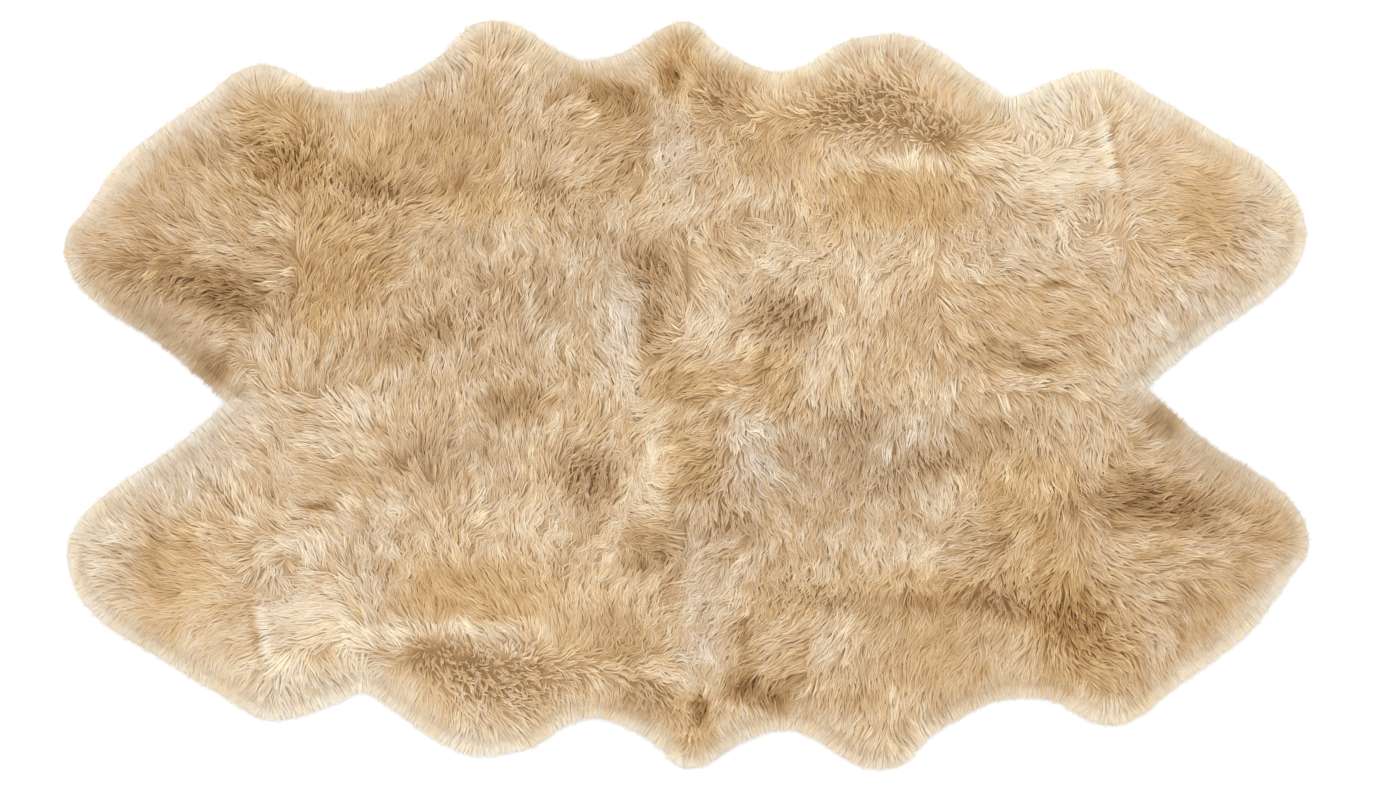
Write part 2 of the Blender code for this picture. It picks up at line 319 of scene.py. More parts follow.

# %% [markdown]
# ## Which way the wool lies
#
# On a living sheep the wool parts along the back and falls to both sides. Each of these skins
# still shows that: above its middle the tips point to the free edge, below it they point to
# the long seam, and at its ends they fan out. The table gives the direction of the tips at
# listed places, and every spot follows the places around it. Near the free edge the wool
# falls straight out over it. In a few patches the wool is short and curly instead.

# %% Lay of the wool
# Columns: name, x mm, y mm, size mm, direction of the tips in degrees.
HONEY_LAY = (
    ("upper honey end", -747, 322, 64, 125),
    ("shoulder", -675, 379, 50, 112),
    ("honey end", -834, 200, 60, 188),
    ("lower honey end", -768, 115, 60, 232),
    ("cheek", -704, 64, 43, 228),
    ("dark band", -675, 158, 64, 184),
    ("end of the dark band", -589, 150, 43, 176),
    ("above the dark band", -639, 243, 60, 150),
    ("cream streaks", -697, 294, 52, 128),
    ("by the notch", -661, 33, 29, 225),
    ("light by the notch", -599, 53, 43, 100),
    ("golden tuft", -553, 119, 26, 50),
    ("front leg", -665, 421, 46, 85),
    ("side of the front leg", -599, 411, 43, 160),
    ("camel curls", -589, 365, 43, 158),
    ("curl by the leg", -541, 301, 40, 84),
    ("flank", -503, 401, 46, 102),
    ("under the flank", -475, 308, 46, 88),
    ("golden field left", -417, 351, 64, 74),
    ("golden field middle", -310, 351, 64, 70),
    ("golden field right", -124, 351, 64, 38),
    ("over the golden field", -246, 437, 43, 60),
    ("hind leg left", -303, 501, 36, 105),
    ("hind leg", -250, 501, 43, 38),
    ("left of the peak", -81, 468, 40, 104),
    ("dark corner", -117, 430, 32, 130),
    ("strip at the cross seam", -26, 329, 37, 84),
    ("under the strip", -67, 243, 37, 48),
    ("cream block", -127, 253, 34, 92),
    ("under the curl", -521, 190, 57, 62),
    ("left of the middle field", -456, 150, 64, 50),
    ("golden field's lower line", -296, 279, 57, 76),
    ("under the tuft band", -291, 180, 69, 98),
    ("end of the tuft band", -410, 222, 43, 30),
    ("middle field left", -380, 72, 72, 100),
    ("middle field", -231, 93, 79, 88),
    ("middle field right", -90, 64, 43, 96),
    ("dark zone", -45, 150, 43, 108),
    ("by the long seam", -511, 79, 50, 90),
)
CREAM_LAY = (
    ("right of the peak", 37, 480, 43, 120),
    ("curls by the peak", 62, 440, 36, 140),
    ("slope", 127, 422, 50, 138),
    ("curls at the hind leg", 248, 422, 64, 150),
    ("hind leg", 299, 494, 50, 125),
    ("side of the hind leg", 399, 437, 43, 62),
    ("over the dark end", 345, 398, 30, 112),
    ("white locks", 84, 379, 40, 240),
    ("gold right of the strip", 163, 337, 57, 275),
    ("over the golden patch", 263, 329, 49, 300),
    ("white band", 327, 339, 36, 285),
    ("golden patch left", 263, 279, 49, 305),
    ("golden patch right", 356, 272, 43, 280),
    ("front leg", 513, 405, 57, 124),
    ("over the swirl", 528, 319, 46, 345),
    ("shoulder parting left", 585, 355, 22, 45),
    ("shoulder parting right", 632, 355, 26, 20),
    ("shoulder", 685, 351, 57, 35),
    ("under the shoulder", 707, 258, 57, 350),
    ("cream end", 800, 251, 64, 340),
    ("chin", 721, 136, 64, 292),
    ("under the cream end", 649, 150, 57, 292),
    ("throat", 621, 72, 50, 318),
    ("swirl left", 532, 239, 20, 270),
    ("swirl below", 566, 213, 20, 350),
    ("swirl right", 604, 239, 20, 80),
    ("swirl above", 571, 265, 20, 165),
    ("curls right of the band", 427, 351, 36, 330),
    ("wavy right", 427, 229, 43, 282),
    ("right of the middle", 427, 165, 57, 318),
    ("lower right field", 506, 122, 64, 338),
    ("by the right notch", 499, 43, 50, 335),
    ("wavy column", 370, 179, 32, 268),
    ("pale tufts", 299, 205, 37, 205),
    ("wavy lock", 198, 243, 36, 262),
    ("foot of the wavy lock", 148, 208, 40, 225),
    ("locks by the cross seam", 51, 286, 36, 215),
    ("under the locks", 62, 229, 36, 330),
    ("middle field", 263, 107, 72, 268),
    ("dark hollow", 148, 122, 50, 250),
    ("middle streak", 37, 122, 36, 268),
    ("by the long seam", 120, 24, 50, 255),
    ("field by the long seam", 329, 43, 64, 266),
)
# Not turned half round as the other two are: the combed blocks where the seams meet.
MIDDLE_LAY = (
    ("block at the long seam", -8, 24, 34, 204),
    ("block, right part", 38, 22, 30, 196),
    ("block in the near half", -4, -34, 36, 206),
    ("block, near right part", 38, -48, 30, 214),
    ("end of the block", 4, -100, 38, 218),
    ("gold by the long seam", 112, 18, 36, 212),
    ("light fan under the gold", 108, -68, 34, 326),
    ("light pillar", -54, -76, 18, 268),
)
MIDDLE_LAY_WEIGHT = 5                   # against the places of the other tables
RIM_REACH = (14 * MM, 52 * MM)          # nearer than the first all wool falls outward, past the second none
LOOSE_ANGLE = 30                        # degrees that brushing leaves between neighbouring locks
LOOSE_WIDTH = 46 * MM
STRAY = 0.3                             # share of a slow random direction, which decides where others cancel
STRAY_WIDTH = 60 * MM
RIM_CALM = 0.5                          # how much less neighbouring locks differ at the rim

pull = np.zeros((*map_places.shape[:2], 2))
weight = np.full(map_places.shape[:2], 1e-9)
on_cream = np.prod(map_places, axis=-1) > 0
for table, share, signs in ((HONEY_LAY, ~on_cream, (1, -1)), (CREAM_LAY, on_cream, (1, -1)),
                            (MIDDLE_LAY, MIDDLE_LAY_WEIGHT, (1,))):
    for _, x, y, size, degrees in table:
        for sign in signs:
            near = share * np.exp(-np.sum((map_places * sign / MM - (x, y)) ** 2, axis=-1) / size ** 2)
            pull += near[..., None] * sign * np.array(heading(degrees)[:2])
            weight += near
pull /= weight[..., None]
pull += STRAY * np.stack([soft_noise(map_places, STRAY_WIDTH, seed) for seed in (13, 14)], axis=-1)
rim_share = np.clip((RIM_REACH[1] - reach_map) / (RIM_REACH[1] - RIM_REACH[0]), 0, 1)
rim_share = (rim_share * rim_share * (3 - 2 * rim_share))[..., None]
lay_map = pull * (1 - rim_share) + outward_map * rim_share
turn = np.radians(LOOSE_ANGLE) * soft_noise(map_places, LOOSE_WIDTH, 11)
turn *= 1 - RIM_CALM * rim_share[..., 0]
cosine, sine = np.cos(turn), np.sin(turn)
lay_map = np.stack([lay_map[..., 0] * cosine - lay_map[..., 1] * sine,
                    lay_map[..., 0] * sine + lay_map[..., 1] * cosine], axis=-1)
print("the lay is set at", 2 * len(HONEY_LAY + CREAM_LAY) + len(MIDDLE_LAY), "places")

# %% [markdown]
# ## Curly, wavy and brushed wool
#
# One fleece holds several kinds of wool. It is short and tightly curled where it rubbed, at the
# legs and hollows, and shows as pebbly tufts with small dark gaps. Elsewhere long locks swing in
# waves. And where the brush went last, and all along the rim, it is combed so smooth that
# single strands hardly show.

# %% Texture of the wool
# Columns: name, x mm, y mm, half length mm, half width mm, turn in degrees, how much, up to 1.
CURLS = (
    ("camel curls", -565, 329, 63, 63, 0, 0.6),
    ("curls under the flank", -459, 279, 57, 34, 0, 0.7),
    ("dark corner", -124, 425, 60, 29, -14, 0.4),
    ("foot of the golden field", -188, 272, 72, 29, 0, 0.6),
    ("root of the hind leg", -339, 491, 29, 20, 30, 0.6),
    ("curls by the peak", 62, 440, 37, 37, 0, 1),
    ("curls at the hind leg", 248, 413, 112, 40, -6, 1),
    ("end of the curls", 358, 380, 44, 27, -20, 1),
    ("peak", -6, 480, 29, 37, 0, 0.5),
    ("middle of the swirl", 569, 239, 26, 17, 0, 0.6),
    ("middle hollow", -52, 136, 34, 86, 0, 0.5),
    ("dark hollow", 145, 122, 52, 52, 0, 0.6),
    ("grey diagonal", -332, 86, 72, 20, 12, 0.6),
    ("by the long seam", -181, 10, 129, 20, 0, 0.4),
    ("dark band", -690, 157, 112, 36, -12, 0.4),
)
WAVES = (
    ("wavy lock", 198, 236, 32, 60, 0, 1),
    ("foot of the wavy lock", 148, 208, 49, 37, 0, 1),
    ("wavy right", 417, 229, 46, 66, 0, 1),
    ("strip at the cross seam", -26, 329, 34, 72, 0, 0.8),
    ("cream block", -127, 253, 43, 37, 0, 1),
    ("white locks", 84, 379, 32, 32, 0, 0.9),
    ("locks by the cross seam", 34, 351, 34, 52, 0, 0.8),
    ("tuft band", -281, 239, 129, 23, 0, 0.7),
    ("middle field", -238, 165, 158, 43, 0, 0.5),
    ("tall streak", -95, 64, 34, 63, 0, 0.5),
    ("pale tufts", 306, 205, 43, 32, 0, 0.6),
)
# The same columns. Below 0 a patch is rougher than its surroundings.
BRUSHED = (
    ("upper rim of the honey end", -783, 294, 100, 57, 45, 0.7),
    ("golden field left", -410, 351, 86, 72, 0, 0.5),
    ("golden field middle", -310, 337, 57, 57, 0, 0.3),
    ("side of the hind leg", 377, 430, 49, 57, 0, 0.8),
    ("gold right of the strip", 148, 344, 72, 37, 0, 0.6),
    ("over the swirl", 535, 319, 63, 34, 0, 0.8),
    ("cream shoulder", 707, 322, 100, 86, -30, 0.7),
    ("lower right field", 506, 127, 86, 26, 0, 0.7),
    ("golden patch", 313, 294, 86, 37, 0, 0.5),
    ("cheek", -740, 107, 86, 52, -35, 0.4),
    ("rough hind leg", -268, 492, 60, 44, 0, -0.8),
    ("rough front leg", 528, 412, 72, 34, 0, -0.8),
    ("rough thigh", -352, 452, 30, 24, 30, -0.7),
    ("rough side of the curls", 268, 470, 60, 30, 0, -0.6),
)
PATCH_POWER = 4                         # a patch has a flatter middle and a sharper edge than a mound
WAVE_NOISE = 0.3                        # how much the waves differ beyond the table
WAVE_NOISE_WIDTH = 70 * MM
RIM_BRUSHED = 0.8                       # how smooth the wool is combed all along the rim
SHOWS_FROM = 0.3                        # from here on a place counts as curly, wavy or brushed

well_inside = np.clip(reach_map / RIM_REACH[1], 0, 1)
curl_map = np.clip(mounds(map_places, CURLS, PATCH_POWER), 0, 1) * well_inside
wave_map = mounds(map_places, WAVES, PATCH_POWER)
wave_map += WAVE_NOISE * soft_noise(map_places, WAVE_NOISE_WIDTH, 15)
wave_map = np.clip(wave_map, 0, 1) * well_inside
brushed_map = np.clip(mounds(map_places, BRUSHED, PATCH_POWER) + RIM_BRUSHED * (1 - well_inside), 0, 1)
for name, texture_map in (("curly", curl_map), ("wavy", wave_map), ("brushed smooth", brushed_map)):
    share = float(np.mean(texture_map[reach_map > 0] > SHOWS_FROM))
    print(name, "on", round(share * 100), "% of the rug")

# %% [markdown]
# ## How light the wool is
#
# Undyed wool is darkest near the root, where it is dense and brown-grey, and bleaches to cream at
# its tips. So a rug looks dark where the wool is short, curly or parted, and pale where long
# tips lie together. Some patches are painted light and shade: the dark ones in hollows, creases
# and partings are painted shade, the rims by the notches are painted darker and greyer as shade,
# and the far and near rims are painted a little lighter. The rim's paleness is partly bleached
# tips and partly painted light, where the thin fringe glows over the bright floor. The first
# table holds the light and dark patches that the rug shows again after half a turn, and the
# second those that it shows once. Two more tables in the same way say where the wool is more
# golden or more grey.

# %% Tone and warmth
# Columns: name, x mm, y mm, half length mm, half width mm, turn in degrees, lighter (+) or darker (-).
TONES = (
    ("cream rim of the honey end", -768, 358, 136, 29, 43, 0.25),
    ("cream front leg", -589, 448, 49, 20, 0, 0.25),
    ("camel curls", -579, 377, 66, 57, 0, -0.2),
    ("dark curl", -558, 319, 49, 34, 0, -0.3),
    ("cream streaks", -711, 311, 63, 34, -20, -0.16),
    # painted shade: the next three darken the parting at the honey end, where the wool parts and shade falls
    ("dark band at the end", -804, 188, 69, 32, -12, -0.2),
    ("dark band", -690, 159, 74, 34, -15, -0.6),
    ("darkest of the band", -608, 136, 63, 36, 0, -0.32),
    # painted shade: the rim at the cheek is painted darker, as a rim in shade
    ("shaded grey cheek", -765, 105, 95, 37, -40, -0.24),
    # painted shade in the hollow by the notch
    ("dark spot by the notch", -682, 39, 26, 26, -30, -0.55),
    ("golden field", -360, 351, 95, 74, 0, -0.19),
    ("hind leg", -267, 487, 57, 34, 0, 0.16),
    ("dark corner", -107, 428, 54, 21, -14, -0.62),
    ("golden field's edge", -78, 358, 23, 69, 0, -0.36),
    ("curl under the flank", -473, 308, 34, 19, -30, -0.35),
    ("golden field's lower line", -310, 294, 143, 13, 2, -0.3),
    ("tuft band", -284, 233, 103, 13, 0, 0.1),
    ("light strip", -24, 329, 32, 89, 0, 0.12),
    ("brown peak", -6, 463, 32, 52, 0, -0.15),
    # painted shade in the hollow at the peak
    ("dark spot at the peak", -22, 448, 14, 23, 0, -0.83),
    ("curls by the peak", 59, 437, 43, 34, 0, -0.22),
    ("curls at the hind leg", 234, 417, 109, 37, 0, -0.02),
    ("dark end of the curls", 352, 384, 52, 26, -20, -0.15),
    ("white band under the curls", 332, 339, 74, 10, 0, 0.34),
    ("gold right of the strip", 112, 351, 57, 37, 0, -0.34),
    ("golden patch", 313, 282, 92, 39, 0, -0.33),
    ("white tuft at the front leg", 538, 417, 92, 43, 0, 0.16),
    ("shoulder's light field", 528, 337, 66, 49, 0, 0.32),
    ("warm cream end", 761, 253, 63, 57, -35, -0.32),
    # painted shade in the dark hollow, a dip of the height map
    ("dark hollow", 145, 127, 46, 46, 0, -0.4),
    ("tall streak", -98, 67, 32, 72, 0, 0.3),
    ("middle streak", 42, 127, 23, 66, 0, 0.18),
    ("grey diagonal", -399, 72, 80, 26, 22, -0.42),
    ("grey middle field", -203, 136, 86, 40, 0, -0.12),
    ("right field", 435, 90, 158, 63, 0, -0.2),
    # painted shade in the crease at the cream end
    ("crease at the cream end", 523, 162, 20, 7, 0, -0.8),
    ("white flecks", 435, 351, 37, 14, 0, 0.3),
    ("gold under the flank", -489, 190, 72, 72, 0, -0.2),
    ("upper honey end", -765, 270, 60, 40, 30, -0.16),
    ("line under the band", -296, 210, 103, 12, 0, 0.18),
    ("cream lobe", 815, 255, 40, 60, 0, 0.16),
    ("under the white locks", 71, 228, 40, 36, 0, -0.16),
    ("swirl", 561, 239, 44, 34, 0, 0.27),
    ("light shoulder parting", 600, 345, 8, 56, 11, 0.45),
    # painted shade in the gap beside the parting
    ("gap beside the parting", 615, 335, 5, 52, 11, -0.4),
    # painted light: the far and near rims are painted a little lighter
    ("far and near rim", 0, 500, 480, 40, 0, 0.05),
    # painted shade: the rim by the notch is painted darker, as a rim in shade
    ("rim by the honey notch", -710, 50, 80, 15, -40, -0.15),
)
# The same columns, for patches that aren't repeated after half a turn.
SINGLE_TONES = (
    ("block at the long seam", 5, 19, 54, 24, 0, -0.36),
    ("block in the near half", 8, -73, 49, 52, 0, -0.14),
    ("end of the block", 11, -136, 32, 13, 0, -0.36),
    # painted shade in the hollow at the long seam
    ("far hollow", -250, -16, 40, 29, 0, -0.6),
    ("grey spot", -191, -16, 13, 10, 0, -0.6),
    # painted shade in the near hollow
    ("near hollow", 237, -42, 40, 20, 0, -0.4),
    ("near grey band", 190, -96, 100, 37, 0, -0.2),
    ("near left grey band", -336, -79, 86, 20, 0, -0.1),
    ("shade by the cross seam", -45, -222, 40, 49, 0, -0.46),
    ("dark near corner", 120, -422, 43, 20, 0, -0.2),
    ("near camel curls", 549, -294, 49, 52, 0, -0.16),
    # painted shade in the crease by the right notch
    ("crease by the right notch", 499, 42, 23, 9, 0, -0.7),
    ("near light field", -482, -50, 62, 42, 0, 0.3),
    ("near golden light", 234, -322, 70, 50, 0, 0.14),
    # painted shade: the next two darken hollows
    ("middle hollow", -45, 180, 30, 30, 0, -0.45),
    ("small hollow", -45, 100, 20, 35, 0, -0.45),
    ("gold by the long seam", 115, 20, 50, 50, 0, -0.25),
    ("light pillar", -50, -75, 7, 45, 0, 0.3),
    ("light seam by the block", 65, -5, 8, 30, 0, 0.2),
    ("near light strip", 70, -340, 12, 110, 0, 0.3),
    ("light by the left notch", -595, 40, 57, 40, 0, 0.15),
)
# The same columns, with more golden (+) or more grey (-) last.
WARMTHS = (
    ("camel curls", -579, 365, 66, 74, 0, 0.6),
    ("dark curl", -558, 314, 49, 37, 0, 0.5),
    ("golden field left", -396, 348, 117, 83, 0, 0.3),
    ("golden field right", -124, 357, 72, 72, 0, 0.4),
    ("gold under the flank", -489, 186, 72, 100, 0, 0.6),
    ("golden tuft", -528, 116, 32, 23, 0, 0.7),
    ("golden field's lower line", -303, 271, 143, 20, 2, 0.5),
    ("brown peak", -6, 465, 37, 57, 0, 0.6),
    ("curls", 205, 415, 186, 49, 0, 0.3),
    ("golden patch", 313, 282, 100, 46, 0, 0.9),
    ("right of the strip", 148, 329, 86, 72, 0, 0.35),
    ("warm cream end", 740, 279, 60, 72, -35, 0.5),
    ("strip at the cross seam", -24, 294, 40, 158, 0, -0.35),
    ("middle field", -238, 122, 158, 100, 0, -0.4),
    ("tall streak", -92, 122, 37, 129, 0, -0.5),
    # painted shade: the cheek's shaded rim is painted greyer
    ("shaded grey cheek", -740, 72, 100, 49, -40, -0.8),
    ("chin", 721, 107, 100, 49, 35, -0.7),
    ("dark hollow", 145, 127, 57, 57, 0, -0.3),
    ("cream lobe", 820, 255, 40, 66, 0, -0.6),
    ("far and near rim", 0, 500, 480, 40, 0, 0.15),
)
SINGLE_WARMTHS = (
    ("block at the long seam", 5, 19, 54, 24, 0, 0.6),
    ("block in the near half", 8, -73, 49, 52, 0, 0.5),
    ("near grey band", 220, -86, 158, 57, 0, -0.5),
    ("near left grey band", -336, -79, 86, 29, 0, -0.4),
    ("near hollow", 237, -42, 40, 20, 0, -0.4),
    ("near camel curls", 549, -294, 63, 66, 0, 0.5),
    ("gold by the long seam", 115, 20, 50, 50, 0, 0.6),
)
PELT_TONE = 0.04                        # the cream pelts are lighter than the honey ones by twice this
PELT_BLEND = 150 * MM                   # over which the wool of two pelts mixes
# the rim's paleness is partly bleached tips and partly painted light, where the thin fringe glows over the
# bright floor
RIM_TONE = 0.59                         # how much paler the rim is than the middle
RIM_TONE_START = 15 * MM                # outside the hide's edge the wool is palest
RIM_TONE_REACH = 24 * MM
RIM_GREY = 0.15                         # and least golden
# Columns: how much, how wide, seed.
TONE_NOISE = ((0.08, 46 * MM, 23), (0.11, 20 * MM, 24))
WARMTH_NOISE = (0.3, 80 * MM, 31)

rim_fade = np.exp(-np.maximum(reach_map + RIM_TONE_START, 0) / RIM_TONE_REACH)
tone_map = mounds(map_places, TONES, PATCH_POWER)
tone_map += mounds(map_places, SINGLE_TONES, PATCH_POWER, (1,))
tone_map += PELT_TONE * np.prod(np.tanh(map_places / PELT_BLEND), axis=-1)
# partly painted light: the pale, glowing rim
tone_map += RIM_TONE * rim_fade
tone_map += sum(size * soft_noise(map_places, width, seed) for size, width, seed in TONE_NOISE)
warmth_map = mounds(map_places, WARMTHS, PATCH_POWER)
warmth_map += WARMTH_NOISE[0] * soft_noise(map_places, *WARMTH_NOISE[1:])
warmth_map += mounds(map_places, SINGLE_WARMTHS, PATCH_POWER, (1,))
warmth_map -= RIM_GREY * rim_fade
print("tone runs from", round(float(tone_map.min()), 2), "to", round(float(tone_map.max()), 2))

# %% [markdown]
# ## A helper for materials
#
# Every material here is a few nodes in a row. One function adds a node, sets its values and
# links its inputs, so that a material reads from top to bottom as the light would meet it.

# %% Node helper
def add_node(tree, kind, settings=None, **inputs):
    """Add a node with its settings. An input goes by its name, or by i and its place, as i0, and
    is a value, or another node's output to link."""
    node = tree.nodes.new(kind)
    for name, value in (settings or {}).items():
        setattr(node, name, value)
    for name, value in inputs.items():
        place = int(name[1:]) if name[0] == "i" and name[1:].isdigit() else name.replace("_", " ")
        if isinstance(value, bpy.types.NodeSocket):
            tree.links.new(value, node.inputs[place])
        else:
            node.inputs[place].default_value = value
    return node


def new_material(name):
    """An empty material, its node tree, and the tree's output node."""
    material = bpy.data.materials.new(name)
    material.use_nodes = True
    material.node_tree.nodes.clear()
    return material, material.node_tree, material.node_tree.nodes.new("ShaderNodeOutputMaterial")


def ramp_colors(node, stops):
    """Give a Color Ramp its stops: pairs of a place and an sRGB hex colour."""
    band = node.color_ramp
    band.elements.remove(band.elements[1])
    for index, (place, code) in enumerate(stops):
        stop = band.elements[0] if index == 0 else band.elements.new(place)
        stop.position = place
        stop.color = linear(code)


def finish_material(tree, output, **inputs):
    """Link a Principled shader with these inputs to the output node."""
    shader = add_node(tree, "ShaderNodeBsdfPrincipled", **inputs)
    tree.links.new(shader.outputs["BSDF"], output.inputs["Surface"])
    return shader


material, tree, output = new_material("painted_floor")
finish_material(tree, output, Base_Color=linear("#D8D8D8"), Roughness=0.8, Specular_IOR_Level=0.2)
floor_mesh.materials.append(material)
print("the floor is plain and pale")

# %% [markdown]
# ## The wool's finish
#
# The material is sheep's wool, washed, brushed and undyed. A fibre is a translucent cream scale
# coat over a hollow core: matt, with a soft sheen where it curves away, and never a sharp
# highlight. Its colour runs from brown-grey at the root to cream at the tip. Each strand of this
# model stands for a staple of many fibres, so fine lines run along it. Real fibres are 0.04 mm
# thick, too fine to show, so the lines are drawn 1.2 mm apart.

# %% Wool materials
# Columns: tone, sRGB colour.
WOOL_STOPS = {
    "honey": (
        (0.0, "#6B4B2D"),
        (0.25, "#A88356"),
        (0.5, "#CBAF88"),
        (0.75, "#E2D5C0"),
        (1.0, "#F1EADC"),
    ),
    "cream": (
        (0.0, "#70502F"),
        (0.25, "#AC895D"),
        (0.5, "#CFB48F"),
        (0.75, "#E5DAC6"),
        (1.0, "#F4EEE2"),
    ),
}
GOLDEN = (1.03, 0.97, 0.80, 1.0)        # what warmth 1 makes of a colour, part by part
GREY = (0.95, 0.99, 1.08, 1.0)          # and warmth -1
FIBRE_STEP = 1.2 * MM
SEE_THROUGH = 0.36                      # share of the light that goes through a staple of wool
STREAK = 0.06                           # tone of a fibre line, lighter or darker
FIBRE_RUN = 24 * MM                     # how far a fibre line runs before it sinks under another
COAT_GRAIN = (3, 6, 6)                  # how coarse the undercoat's grain is, in fibre steps


def wool_material(name, stops, follows_strands):
    """Wool: its tone and warmth come from the mesh, its fine lines from the strand's own UV map."""
    material, tree, output = new_material(name)
    tone = add_node(tree, "ShaderNodeAttribute", {"attribute_name": "tone"}).outputs["Fac"]
    warmth = add_node(tree, "ShaderNodeAttribute", {"attribute_name": "warmth"}).outputs["Fac"]
    if follows_strands:
        place = add_node(tree, "ShaderNodeUVMap", {"uv_map": "fibres"}).outputs["UV"]
        scale = (1 / FIBRE_STEP, 1 / FIBRE_RUN, 1)
    else:
        place = add_node(tree, "ShaderNodeTexCoord").outputs["Object"]
        scale = tuple(1 / (part * FIBRE_STEP) for part in COAT_GRAIN)
    place = add_node(tree, "ShaderNodeMapping", Vector=place, Scale=scale).outputs["Vector"]
    lines = add_node(tree, "ShaderNodeTexNoise", {"noise_dimensions": "2D" if follows_strands else "3D"},
                     Vector=place, Scale=1.0, Detail=2.0, Roughness=0.6).outputs["Fac"]
    streak = add_node(tree, "ShaderNodeMapRange", i0=lines, i1=0.25, i2=0.75, i3=-STREAK, i4=STREAK)
    shade = add_node(tree, "ShaderNodeMath", {"operation": "ADD"}, i0=tone, i1=streak.outputs["Result"])
    ramp = add_node(tree, "ShaderNodeValToRGB", Fac=shade.outputs["Value"])
    ramp_colors(ramp, stops)
    color = ramp.outputs["Color"]
    for cast, most in ((GOLDEN, 1.0), (GREY, -1.0)):
        share = add_node(tree, "ShaderNodeMapRange", i0=warmth, i1=0.0, i2=most, i3=0.0, i4=1.0)
        color = add_node(tree, "ShaderNodeMix", {"data_type": "RGBA", "blend_type": "MULTIPLY"},
                         i0=share.outputs["Result"], i6=color, i7=cast).outputs[2]
    bump = add_node(tree, "ShaderNodeBump", Height=lines, Strength=0.25, Distance=0.0006)
    shader = finish_material(tree, output, Base_Color=color, Roughness=0.72, IOR=1.55,
                             Specular_IOR_Level=0.22, Sheen_Weight=0.25, Sheen_Roughness=0.45,
                             Sheen_Tint=linear("#FFF7EC"), Normal=bump.outputs["Normal"])
    lit_from_behind = add_node(tree, "ShaderNodeBsdfTranslucent", Color=color)
    both = add_node(tree, "ShaderNodeMixShader", i0=SEE_THROUGH, i1=shader.outputs["BSDF"],
                    i2=lit_from_behind.outputs["BSDF"])
    tree.links.new(both.outputs["Shader"], output.inputs["Surface"])
    return material


wool_finish = {kind: wool_material("brushed_" + kind + "_wool", stops, True)
               for kind, stops in WOOL_STOPS.items()}
undercoat_finish = {kind: wool_material("dense_" + kind + "_undercoat", stops, False)
                    for kind, stops in WOOL_STOPS.items()}
print("wool finishes:", [item.name for item in wool_finish.values()])

# %% [markdown]
# ## The hides
#
# Under the wool each pelt is a sheet of tanned leather about 2 mm thick. It hardly shows, but a
# look from the side or from below finds it. The outline makes one face, which an extrude turns
# into a sheet. The backs of sheepskins are left as suede: a short, matt nap in pale tan.

# %% Hides
HIDE_THICKNESS = 2 * MM
HIDE_INSET = 0.3 * MM                   # from the seam lines, where two hides are sewn edge to edge
NAP_GRAIN = 1.6 * MM
SUEDE_PATCH = 45 * MM

material, tree, output = new_material("suede_hide_back")
place = add_node(tree, "ShaderNodeTexCoord").outputs["Object"]
grain = add_node(tree, "ShaderNodeTexNoise", Vector=place, Scale=1 / NAP_GRAIN, Detail=3.0)
patch = add_node(tree, "ShaderNodeTexNoise", Vector=place, Scale=1 / SUEDE_PATCH, Detail=4.0)
mixed = add_node(tree, "ShaderNodeMath", {"operation": "MULTIPLY_ADD"},
                 i0=grain.outputs["Fac"], i1=0.3, i2=patch.outputs["Fac"])
ramp = add_node(tree, "ShaderNodeValToRGB", Fac=mixed.outputs["Value"])
ramp_colors(ramp, ((0.35, "#B8A282"), (0.65, "#CDBA9C"), (0.9, "#D9C8AC")))
bump = add_node(tree, "ShaderNodeBump", Height=grain.outputs["Fac"], Strength=0.5, Distance=0.0004)
finish_material(tree, output, Base_Color=ramp.outputs["Color"], Roughness=0.92,
                Specular_IOR_Level=0.15, Sheen_Weight=0.3, Sheen_Roughness=0.6,
                Normal=bump.outputs["Normal"])
suede = material


def outline_face(outline):
    """A bmesh with one face: a pelt's outline on the floor, counterclockwise seen from above."""
    cut = bmesh.new()
    area = np.sum(outline[:, 0] * np.roll(outline[:, 1], -1) - np.roll(outline[:, 0], -1) * outline[:, 1])
    cut.faces.new([cut.verts.new((x, y, 0)) for x, y in (outline if area > 0 else outline[::-1])])
    return cut, abs(area) / 2


hides = {}
for node, (kind, outline) in PELTS.items():
    middle = outline.mean(axis=0)
    inner = np.where(np.abs(outline) < HIDE_INSET, np.sign(middle) * HIDE_INSET, outline)
    cut, area = outline_face(inner)
    upper = bmesh.ops.extrude_face_region(cut, geom=list(cut.faces))["geom"]
    bmesh.ops.translate(cut, verts=[item for item in upper if isinstance(item, bmesh.types.BMVert)],
                        vec=(0, 0, HIDE_THICKNESS))
    bmesh.ops.recalc_face_normals(cut, faces=cut.faces)
    bmesh.ops.triangulate(cut, faces=[face for face in cut.faces if len(face.verts) > 4])
    data = bpy.data.meshes.new(node + "_hide")
    cut.to_mesh(data)
    cut.free()
    data.materials.append(suede)
    hides[node] = add_object(node + "_hide", data)
    hides[node]["flat_area"] = area
    print(node, "is", round(area, 3), "square metres of hide")

# %% [markdown]
# ## The undercoat
#
# Between the long strands a sheep has a dense, short undercoat. It is what shows, dark and soft,
# where the long wool parts. It starts as the hide's own outline, extruded up, and its top is
# divided by planes into small cells, so that its points can be lifted to a little below the
# wool's height.

# %% Undercoat
UNDERCOAT_STEP = 13 * MM
UNDERCOAT_DEPTH = 7 * MM                # below the wool's surface
UNDERCOAT_RISE = 0.6                    # how much of that depth it fills where the wool is brushed smooth
UNDERCOAT_EDGE = 8 * MM                 # its height at the free edge
UNDERCOAT_TONE = 0.41
